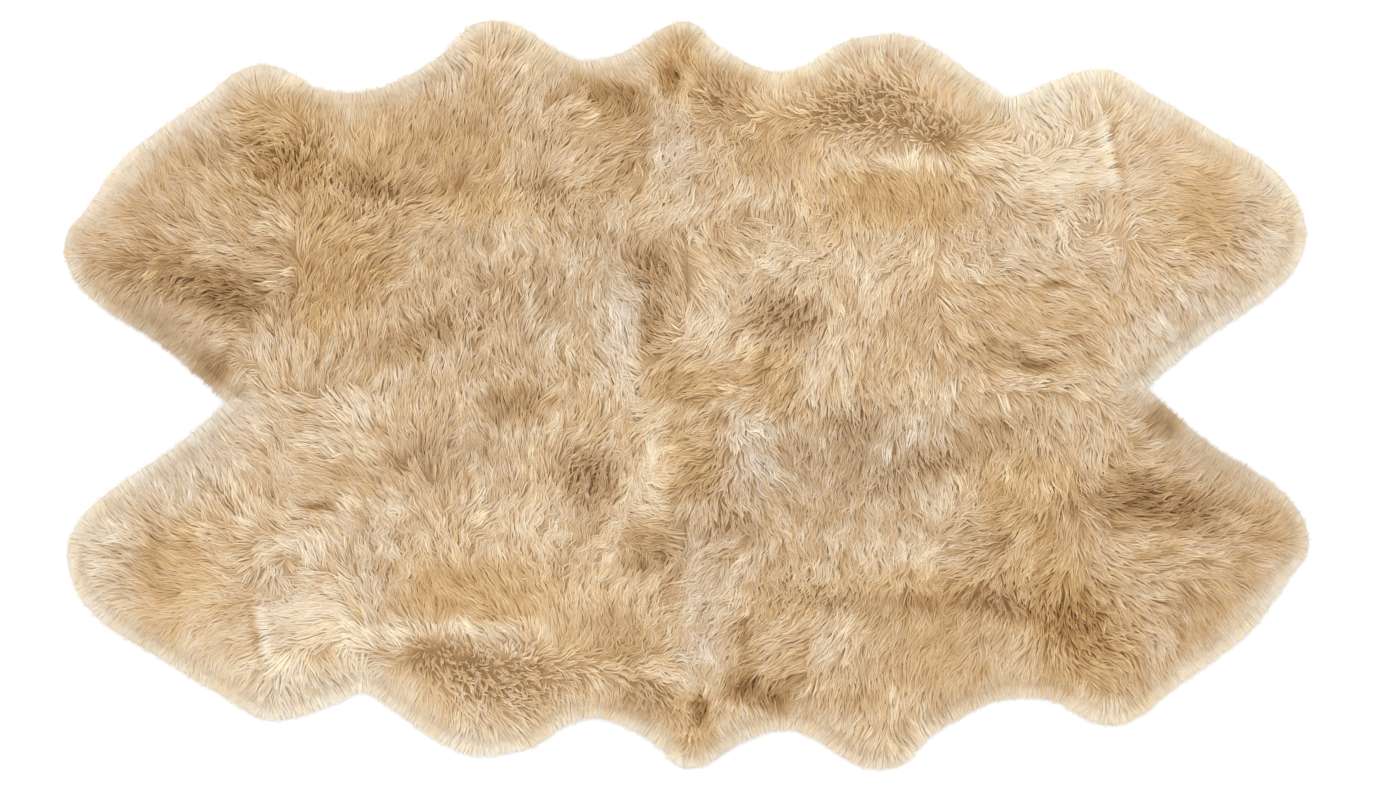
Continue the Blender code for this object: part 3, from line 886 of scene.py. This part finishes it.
# painted shade: taken off the curly undercoat so that the gaps between curls look shaded
UNDERCOAT_CURL_SHADE = 0.2               # taken off where the wool is curly, so that its small gaps show
UNDERCOAT_RIM_TONE = 0.15               # added at the rim, where it is as bleached as the tips
UNDERCOAT_HANG = 19 * MM                # how far past the hide's edge it reaches
UNDERCOAT_FOLLOWS = 0.45                # how much of the long wool's light and dark it shares
UNDERCOAT_LUMPS = 2 * MM                # how uneven it is where it isn't brushed
UNDERCOAT_LUMP_WIDTH = 17 * MM
UNDERCOAT_GAP = 0.1 * MM                # between it and the hide
BLEACH_REACH = 10 * MM                  # past the hide's edge, over which it gets paler
WELD_REACH = 0.5 * MM                   # nearer than this to a cutting plane a point lies on it


def pelt_values(data, values):
    """Write an attribute of one number for each vertex."""
    for name, numbers in values.items():
        data.attributes.new(name, "FLOAT", "POINT").data.foreach_set("value", numbers.astype(np.float32))


undercoats = {}
for number, (node, (kind, outline)) in enumerate(PELTS.items()):
    fringe = outline.copy()
    fringe[:-1] += UNDERCOAT_HANG * unit(read_map(outward_map, outline[:-1]))
    body, _ = outline_face(fringe)
    made = bmesh.ops.extrude_face_region(body, geom=list(body.faces))["geom"]
    top = [item for item in made if isinstance(item, bmesh.types.BMFace)]
    bmesh.ops.translate(body, verts=list({vert for face in top for vert in face.verts}),
                        vec=(0, 0, UNDERCOAT_EDGE))
    for face in top:
        face.material_index = 1
    for axis, normal in enumerate((Vector((1, 0, 0)), Vector((0, 1, 0)))):
        reach = fringe[:, axis]
        first, last = math.ceil(reach.min() / UNDERCOAT_STEP), math.ceil(reach.max() / UNDERCOAT_STEP)
        for step in range(first, last):
            parts = [face for face in body.faces if face.material_index == 1]
            around = dict.fromkeys(item for face in parts for item in (*face.edges, *face.verts))
            bmesh.ops.bisect_plane(body, geom=parts + list(around), dist=WELD_REACH,
                                   plane_co=normal * step * UNDERCOAT_STEP, plane_no=normal)
    for face in body.faces:
        face.material_index = 0
        face.smooth = True
    body.verts.ensure_lookup_table()
    places = np.array([vert.co for vert in body.verts])
    brushed = read_map(brushed_map, places[:, :2])
    height = read_map(height_map, places[:, :2]) - UNDERCOAT_DEPTH * (1 - UNDERCOAT_RISE * brushed)
    lumps = soft_noise(places[:, :2], UNDERCOAT_LUMP_WIDTH, 40 + number)
    height += UNDERCOAT_LUMPS * (1 - brushed) * lumps
    for vert, level in zip(body.verts, height):
        if vert.co.z > UNDERCOAT_EDGE / 2:
            vert.co.z = max(level, UNDERCOAT_EDGE / 2)
        else:
            vert.co.z = HIDE_THICKNESS + UNDERCOAT_GAP
    bmesh.ops.recalc_face_normals(body, faces=body.faces)
    bmesh.ops.triangulate(body, faces=body.faces)
    data = bpy.data.meshes.new(node + "_undercoat")
    body.to_mesh(data)
    body.free()
    places = np.empty(len(data.vertices) * 3)
    data.vertices.foreach_get("co", places)
    places = places.reshape(-1, 3)[:, :2]
    tone = UNDERCOAT_TONE + UNDERCOAT_FOLLOWS * read_map(tone_map, places)
    # painted shade in the gaps between curls
    tone -= UNDERCOAT_CURL_SHADE * read_map(curl_map, places)
    bleached = np.clip(-read_map(reach_map, places) / BLEACH_REACH, 0, 1)
    pelt_values(data, {"tone": tone + UNDERCOAT_RIM_TONE * bleached,
                       "warmth": read_map(warmth_map, places)})
    data.materials.append(undercoat_finish[kind])
    undercoats[node] = add_object(node + "_undercoat", data)
    print(undercoats[node].name, "has", len(data.polygons), "triangles")

# %% [markdown]
# ## The long wool
#
# A strand could be a curve with a bevel, but a hundred thousand tubes are too heavy. A ribbon with
# a pointed tip has seven or nine triangles and looks the same from a step away. The ribbons of one
# pelt are joined meshes, made from arrays.
#
# Wool hangs together in tufts, and tufts in locks: roots stand apart, tips draw together. Two
# kinds of strand are grown from the same tufts. Broad, soft ones make the wool's body, and
# thin, wavy ones with bleached tips lie on top and catch the light. The strands of a lock share
# their waves, as they grew side by side.

# %% Strand settings
TUFT_STEP = 11.6 * MM
TUFT_RADIUS = 9 * MM
LOCK_STEP = 34 * MM
LOCK_CROWN = 2.6 * MM                   # a lock's middle stands this far over its sides
CURL_STEP = 6 * MM                      # in the curly patches the tufts are this small
STRAND_KINDS = {
    "wool": {
        "strands": 6,                   # in each tuft
        "steps": 4,                     # stretches along a strand
        "length": (26 * MM, 43 * MM),
        "width": (2.4 * MM, 4.0 * MM),
        "swing": (0.6 * MM, 1.4 * MM),  # sideways, of its wave
        "depth": 9 * MM,                # of the root below the wool's surface
        "rise": -1.0 * MM,              # of the tip over the wool's surface
        "spread": 0.9 * MM,             # of the rise, at random
        "roll": 10,                     # degrees that it is turned about itself, at most
        "pull": (0.35, 0.25),           # how far its tip moves to its tuft's and its lock's tip
        "shade": (0.455, 0.565),        # tone at the root and at the tip
        "own_shade": 0.02,              # tone of its own, at random
    },
    "tips": {
        "strands": 5,
        "steps": 5,
        "length": (18 * MM, 32 * MM),
        "width": (1.0 * MM, 1.8 * MM),
        "swing": (0.8 * MM, 2.0 * MM),
        "depth": 5 * MM,
        "rise": 1.0 * MM,
        "spread": 1.3 * MM,
        "roll": 22,
        "pull": (0.5, 0.3),
        "shade": (0.475, 0.685),
        "own_shade": 0.05,
    },
}
WAVE_LENGTH = (28 * MM, 40 * MM)        # of the waves that the strands of one lock share
WAVY_SWING = 3.3                        # how much more they swing in the wavy locks
TUFT_TURN = 10                          # degrees that a tuft is turned from the lay, typically
CURL_TURN = 62                          # and at most in the curly patches
CURL_CELLS = 256                        # small tufts in a row before the random ones repeat
CURL_FROM = 0.35                        # this curly, strands gather in the small tufts
CURL_JITTER = 0.35                      # of a small tuft's middle, in steps
CURL_SHORTER = 0.52                     # share that full curl takes off a strand's length
CURL_NARROWER = 0.3                     # and off its width
CURL_PULL = 0.15                        # and adds to the pull to its tuft
# painted shade: the next two darken the roots and whole strands of curly wool, for the gaps between small
# tufts
CURL_CONTRAST = 1.2                     # and to the contrast between root and tip
CURL_GAP_SHADE = 0.2                       # and takes off the tone, in parts of that contrast
# painted shade colour: warmer roots give the gaps between tufts the warm tint of shade inside wool
ROOT_WARMTH = 0.4                       # roots are more golden, which also warms the gaps between tufts
LIGHT_WARMTH = 2.2                      # and so are the strands that are lighter than their neighbours
WHITE_TUFTS = 0.07                      # share of the tufts that are bleached to the root
WHITE_SHADE = 0.15
LOCK_SHADE = 0.025                      # how much the tones of locks differ
TUFT_SHADE = 0.042                      # and those of the tufts in a lock
TUFT_WARMTH = 0.2                       # and how golden or grey tufts are
STRAND_WARMTH = 0.1                     # and single strands
TONE_GAIN = 0.42                        # how much the tone map counts
TONE_SHARES = (0.3, 0.7)                # of the root and of each point, in the place where it is read
LAY_SHARES = (0.35, 0.35, 0.3)          # of root, tuft and lock, in the place where the lay is read
FIRMNESS = 1.6                          # how soon wool that lies one way has its full length
LOOSE_LENGTH = 0.6                      # share of its length that wool keeps where the lay is unsure
SMOOTHING = 0.92                        # how much less the strands differ where the wool is brushed smooth
RIM_HANG = 24 * MM                      # how far past the hide's edge a tip reaches
RIM_SPREAD = 1.3 * MM
RIM_WIDTH = 0.5                         # how broad a strand is at the rim, against elsewhere
RIM_SWING = 0.4                         # and how far it swings
RIM_LEAST = 0.25                        # the very rim counts as this far inside
ROOT_INSET = 1.5 * MM                   # of the outermost roots from the hide's edge
OVERHANG_FROM = 0.25                    # a strand that points this much outward ends at the rim
PLAIN_SWING = 0.7                       # how much strands swing outside the wavy locks
PHASE_SPREAD = 0.45                     # radians by which the waves of one lock differ
LOCK_PULL_LOSS = 0.5                    # share of the pull to the lock's tip that is lost along the lay
SMOOTH_DEPTH = 0.3                      # how deep roots lie in brushed wool, against elsewhere
ROOT_CLEARANCE = 4 * MM                 # of a root over the floor
CROWN_MIDDLE = 0.5                      # a lock's middle is this share of its crown over the wool's surface
CROWN_DROP = 1.2                        # and its sides at most this share below its middle
# Powers of the place along a strand, from 0 at the root to 1 at the tip.
PULL_POWER = 1.4
SWING_POWER = 0.5
DEPTH_POWER = 1.8
RISE_POWER = 0.8
PALING_POWER = 1.2
ROUNDING = 0.8                          # how far a ribbon is shaded as part of the wool's surface
SLOPE_STEP = 4 * MM                     # over which the surface's slope is measured
FLOOR_CLEARANCE = 0.6 * MM              # of the lowest strands
FLOOR_SPREAD = 2.5 * MM                 # and how far the next ones lie over them


def jittered_grid(outline, step, chance, jitter=0.42):
    """Random places inside an outline, about a step apart and without large gaps."""
    low, high = outline.min(axis=0), outline.max(axis=0)
    rows = [np.arange(low[axis], high[axis] + step, step) for axis in range(2)]
    places = np.stack(np.meshgrid(*rows, indexing="ij"), axis=-1).reshape(-1, 2)
    places += chance.uniform(-jitter, jitter, places.shape) * step
    return places[inside(places, outline)]


def place_tufts(outline, chance):
    """The tufts and locks of one pelt, and what the strands of a tuft share."""
    tufts = jittered_grid(outline, TUFT_STEP, chance)
    locks = jittered_grid(outline, LOCK_STEP, chance)
    lock = np.linalg.norm(tufts[:, None] - locks[None], axis=-1).argmin(axis=1)
    shade = LOCK_SHADE * chance.normal(0, 1, len(locks))[lock]
    shade += TUFT_SHADE * chance.normal(0, 1, len(tufts))
    shade += WHITE_SHADE * (chance.uniform(0, 1, len(tufts)) < WHITE_TUFTS)
    return {"place": tufts, "lock": locks[lock], "shade": shade,
            "phase": chance.uniform(0, 2 * np.pi, len(locks))[lock],
            "wave": chance.uniform(*WAVE_LENGTH, len(locks))[lock],
            "turn": np.radians(TUFT_TURN) * chance.normal(0, 1, len(tufts)),
            "warmth": TUFT_WARMTH * chance.normal(0, 1, len(tufts))}


def small_tufts(places):
    """The middle of the small curly tuft at each place, and how far it is turned, from -1 to 1."""
    dice = np.random.default_rng(9).uniform(-1, 1, (CURL_CELLS, CURL_CELLS, 3))
    cell = np.floor(places / CURL_STEP).astype(int)
    drawn = dice[cell[:, 0] % CURL_CELLS, cell[:, 1] % CURL_CELLS]
    return (cell + 0.5 + CURL_JITTER * drawn[:, :2]) * CURL_STEP, drawn[:, 2]


# %% Growing the strands of one pelt
def grow_strands(tufts, kind, chance):
    """Strands of one kind on one pelt: centre lines, sides, widths, normals, tones and warmth."""
    tuft = np.repeat(np.arange(len(tufts["place"])), kind["strands"])
    count = len(tuft)
    along = np.linspace(0, 1, kind["steps"] + 1)
    angle = chance.uniform(0, 2 * np.pi, count)
    radius = TUFT_RADIUS * np.sqrt(chance.uniform(0, 1, count))
    middle, lock = tufts["place"][tuft], tufts["lock"][tuft]
    root = middle + np.column_stack([np.cos(angle), np.sin(angle)]) * radius[:, None]
    reach = read_map(reach_map, root)
    outward = unit(read_map(outward_map, root))
    astray = reach < ROOT_INSET
    root[astray] -= outward[astray] * (ROOT_INSET - reach[astray])[:, None]
    reach = np.maximum(reach, ROOT_INSET)
    inner = np.clip(reach / RIM_REACH[1], RIM_LEAST, 1)
    curl, wavy = read_map(curl_map, root), read_map(wave_map, root)
    rough = 1 - SMOOTHING * read_map(brushed_map, root)

    small, small_turn = small_tufts(root)
    curly = curl > CURL_FROM
    middle = np.where(curly[:, None], small, middle)
    turn = np.where(curly, np.radians(CURL_TURN) * small_turn * curl, tufts["turn"][tuft] * inner)
    of_root, of_tuft, of_lock = LAY_SHARES
    lay = read_map(lay_map, of_root * root + of_tuft * middle + of_lock * lock)
    firmness = np.clip(FIRMNESS * np.linalg.norm(lay, axis=-1), LOOSE_LENGTH, 1)
    lay = unit(lay)
    lay = np.column_stack([lay[:, 0] * np.cos(turn) - lay[:, 1] * np.sin(turn),
                           lay[:, 0] * np.sin(turn) + lay[:, 1] * np.cos(turn)])
    aside = np.column_stack([-lay[:, 1], lay[:, 0]])
    length = chance.uniform(*kind["length"], count) * firmness * (1 - CURL_SHORTER * curl)
    overhang = np.sum(lay * outward, axis=1)
    room = reach + RIM_HANG + chance.normal(0, 1, count) * RIM_SPREAD
    to_rim = np.minimum(length, room / np.maximum(overhang, OVERHANG_FROM))
    length = np.where(overhang > OVERHANG_FROM, to_rim, length)

    to_tuft = (middle - root) * ((kind["pull"][0] + CURL_PULL * curl) * inner)[:, None]
    to_lock = (lock - middle) * (kind["pull"][1] * inner ** 2 * (1 - curl))[:, None]
    to_lock -= lay * np.sum(to_lock * lay, axis=1)[:, None] * LOCK_PULL_LOSS
    swing = chance.uniform(*kind["swing"], count) * (PLAIN_SWING + WAVY_SWING * wavy)
    swing = swing * (RIM_SWING + (1 - RIM_SWING) * inner)
    wave = tufts["wave"][tuft]
    phase = tufts["phase"][tuft] + 2 * np.pi * np.sum((root - lock) * lay, axis=1) / wave
    phase += chance.normal(0, PHASE_SPREAD, count)
    run = along[None, :, None]
    path = root[:, None] + lay[:, None] * (length[:, None, None] * run)
    path = path + (to_tuft + to_lock)[:, None] * run ** PULL_POWER
    bend = np.sin(phase[:, None] + 2 * np.pi * along * (length / wave)[:, None])
    bend = bend - np.sin(phase)[:, None]
    path = path + aside[:, None] * (swing[:, None] * bend * along ** SWING_POWER)[..., None]

    surface = read_map(height_map, path)
    depth = kind["depth"] * (SMOOTH_DEPTH + (1 - SMOOTH_DEPTH) * rough)
    depth = np.minimum(depth, surface[:, 0] - ROOT_CLEARANCE)[:, None]
    off_axis = np.sum((root - lock) * aside, axis=1) / (LOCK_STEP / 2)
    rise = kind["rise"] + chance.normal(0, kind["spread"], count) * rough
    rise += LOCK_CROWN * (CROWN_MIDDLE - np.minimum(off_axis ** 2, CROWN_DROP)) * rough
    outside = np.clip(surface / EDGE_HEIGHT, 0, 1)
    level = surface - depth * (1 - along) ** DEPTH_POWER
    level = level + outside * rise[:, None] * along ** RISE_POWER
    level = np.maximum(level, FLOOR_CLEARANCE + FLOOR_SPREAD * chance.uniform(0, 1, count)[:, None])
    line = np.concatenate([path, level[..., None]], axis=-1)

    forward = unit(np.gradient(line, axis=1))
    flat_side = unit(np.cross(np.array([0.0, 0.0, 1.0]), forward))
    over = np.cross(forward, flat_side)
    roll = np.radians(chance.uniform(-kind["roll"], kind["roll"], count) * rough)[:, None, None]
    side = flat_side * np.cos(roll) + over * np.sin(roll)
    width = chance.uniform(*kind["width"], count) * (RIM_WIDTH + (1 - RIM_WIDTH) * inner)
    width = width * (1 - CURL_NARROWER * curl)

    of_root, of_point = TONE_SHARES
    tone = TONE_GAIN * read_map(tone_map, root[:, None] * of_root + path * of_point)
    own = (tufts["shade"][tuft] + chance.normal(0, kind["own_shade"], count)) * rough
    root_shade, tip_shade = kind["shade"]
    # painted shade: curly wool gets darker roots and darker strands, for the gaps between small tufts
    gain = ((tip_shade - root_shade) * (rough + CURL_CONTRAST * curl))[:, None]
    gain = gain * (along ** PALING_POWER - 0.5 - CURL_GAP_SHADE * curl[:, None])
    shade = tone + own[:, None] + (root_shade + tip_shade) / 2 + gain
    own_warmth = tufts["warmth"][tuft] + chance.normal(0, STRAND_WARMTH, count)
    warmth = read_map(warmth_map, path) + own_warmth[:, None]
    # the roots' warmth is partly painted shade colour for the gaps between tufts
    warmth += ROOT_WARMTH * (1 - along) + LIGHT_WARMTH * np.maximum(own[:, None] + gain, 0)
    facing = unit(np.cross(forward, side))
    upward = np.where(facing[..., 2:] < 0, -facing, facing)
    fall = np.stack([read_map(height_map, path - step) - read_map(height_map, path + step)
                     for step in SLOPE_STEP * np.eye(2)], axis=-1)
    ground = unit(np.concatenate([fall, np.full((*fall.shape[:-1], 1), 2 * SLOPE_STEP)], axis=-1))
    normal = unit(upward * (1 - ROUNDING) + ground * ROUNDING)
    return line, side, width, normal, shade, warmth


# %% [markdown]
# ## From strands to meshes
#
# The arrays become points two by two along each ribbon, with one point at the tip. The faces
# repeat the same pattern for every strand. Two UV maps go with them: one in metres across and along
# the strand, which the fine lines follow, and one that gives each strand a small cell of its
# own, so that the finish can be baked to an image without two strands sharing a spot.

# %% Ribbons
# Places along a strand, and the share of its width that it has there.
WIDTH_ALONG = ((0, 0.25, 0.5, 0.8, 1), (0.6, 0.95, 1.0, 0.75, 0))
CELL_MARGIN = 0.12                      # of a cell, left free round a strand


def ribbon_mesh(name, line, side, width, normal, shade, warmth):
    """One mesh of pointed ribbons from the strands' arrays."""
    count, steps = len(line), line.shape[1] - 1
    run = np.linspace(0, 1, steps + 1)
    half = (width[:, None] * np.interp(run, *WIDTH_ALONG) / 2)[..., None]
    pairs = np.stack([line - side * half, line + side * half], axis=2)[:, :-1]
    points = np.concatenate([pairs.reshape(count, 2 * steps, 3), line[:, -1:]], axis=1)
    each = 2 * steps + 1
    quads = [(2 * k, 2 * k + 2, 2 * k + 3, 2 * k + 1) for k in range(steps - 1)]
    tip = (2 * steps - 2, 2 * steps, 2 * steps - 1)
    pattern = np.array([corner for quad in quads for corner in quad] + list(tip))
    corners = (np.arange(count)[:, None] * each + pattern).ravel()
    starts = np.arange(steps) * 4
    starts = (np.arange(count)[:, None] * len(pattern) + starts).ravel()

    data = bpy.data.meshes.new(name)
    data.vertices.add(count * each)
    data.vertices.foreach_set("co", points.ravel().astype(np.float32))
    data.loops.add(len(corners))
    data.loops.foreach_set("vertex_index", corners.astype(np.int32))
    data.polygons.add(len(starts))
    data.polygons.foreach_set("loop_start", starts.astype(np.int32))
    data.update(calc_edges=True)
    data.shade_smooth()

    across = np.append(np.tile([0.0, 1.0], steps), 0.5)
    along = np.append(np.repeat(run[:-1], 2), 1.0)
    lengths = np.sum(np.linalg.norm(np.diff(line, axis=1), axis=2), axis=1)
    own_place = np.random.default_rng(7).uniform(0, 50, count)
    metric = np.stack([own_place[:, None] + across * width[:, None],
                       along * lengths[:, None] + own_place[::-1, None]], axis=-1)
    rows = math.ceil(math.sqrt(count))
    cell = np.stack([np.arange(count) % rows, np.arange(count) // rows], axis=-1)
    inner = CELL_MARGIN + (1 - 2 * CELL_MARGIN) * np.stack([across, along], axis=-1)
    packed = (cell[:, None] + inner[None]) / rows
    for map_name, values in (("OFBake", packed), ("fibres", metric)):
        layer = data.uv_layers.new(name=map_name)
        layer.data.foreach_set("uv", values.reshape(-1, 2)[corners].ravel().astype(np.float32))
    pairs_of = [np.repeat(values[:, :-1], 2, axis=1) for values in (shade, warmth)]
    tips_of = [values[:, -1:] for values in (shade, warmth)]
    shade, warmth = (np.concatenate([pair, end], axis=1).ravel()
                     for pair, end in zip(pairs_of, tips_of))
    pelt_values(data, {"tone": shade, "warmth": warmth})
    normals = np.concatenate([np.repeat(normal[:, :-1], 2, axis=1), normal[:, -1:]], axis=1)
    data.normals_split_custom_set_from_vertices(normals.reshape(-1, 3).tolist())
    return data


SEED = 1200                             # another one gives another fleece of the same kind
wools = {node: [] for node in PELTS}
for number, (node, (kind, outline)) in enumerate(PELTS.items()):
    chance = np.random.default_rng(SEED + number)
    tufts = place_tufts(outline, chance)
    for part, settings in STRAND_KINDS.items():
        strands = grow_strands(tufts, settings, chance)
        data = ribbon_mesh(node + "_" + part, *strands)
        data.materials.append(wool_finish[kind])
        wools[node].append(add_object(node + "_" + part, data))
        triangles = len(strands[0]) * (2 * settings["steps"] - 1)
        print(data.name, "has", len(strands[0]), "strands and", triangles, "triangles")

# %% [markdown]
# ## Light
#
# The rug was photographed in even studio light: a bright room all round, and a large soft lamp
# nearly overhead that gives the locks their shape. The floor is lit until it is white.

# %% Lamps
ROOM_LIGHT = 1.3
LAMP_POWER = 1.4
LAMP_SPREAD = 50                        # degrees across, as from a large softbox
LAMP_PLACE = Vector((-0.25, 0.5, 3.4))

world = bpy.data.worlds.new("bright_room")
world.use_nodes = True
world.node_tree.nodes["Background"].inputs["Color"].default_value = linear("#FFFFFF")
world.node_tree.nodes["Background"].inputs["Strength"].default_value = ROOM_LIGHT
bpy.context.scene.world = world
lamp_data = bpy.data.lights.new("soft_lamp", "SUN")
lamp_data.energy = LAMP_POWER
lamp_data.angle = math.radians(LAMP_SPREAD)
lamp = add_object("soft_lamp", lamp_data)
lamp.location = LAMP_PLACE
lamp.rotation_euler = (-LAMP_PLACE).to_track_quat("-Z", "Y").to_euler()
bpy.context.scene.view_settings.view_transform = "Standard"
print("one lamp of strength", LAMP_POWER, "and a room of strength", ROOM_LIGHT)

# %% [markdown]
# ## Hand over to the frame
#
# Every piece rides on the rug's one body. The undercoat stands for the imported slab, and the
# wool and the hide go with it. A hide is a sheet of leather, so its flat size is declared.

# %% Ride, replace and declare
for node, (kind, outline) in PELTS.items():
    for piece in (hides[node], undercoats[node], *wools[node]):
        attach(piece, "root")
    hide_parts(node)
    size = outline.max(axis=0) - outline.min(axis=0)
    print(node, "was cut from", [round(float(value), 3) for value in size], "m")
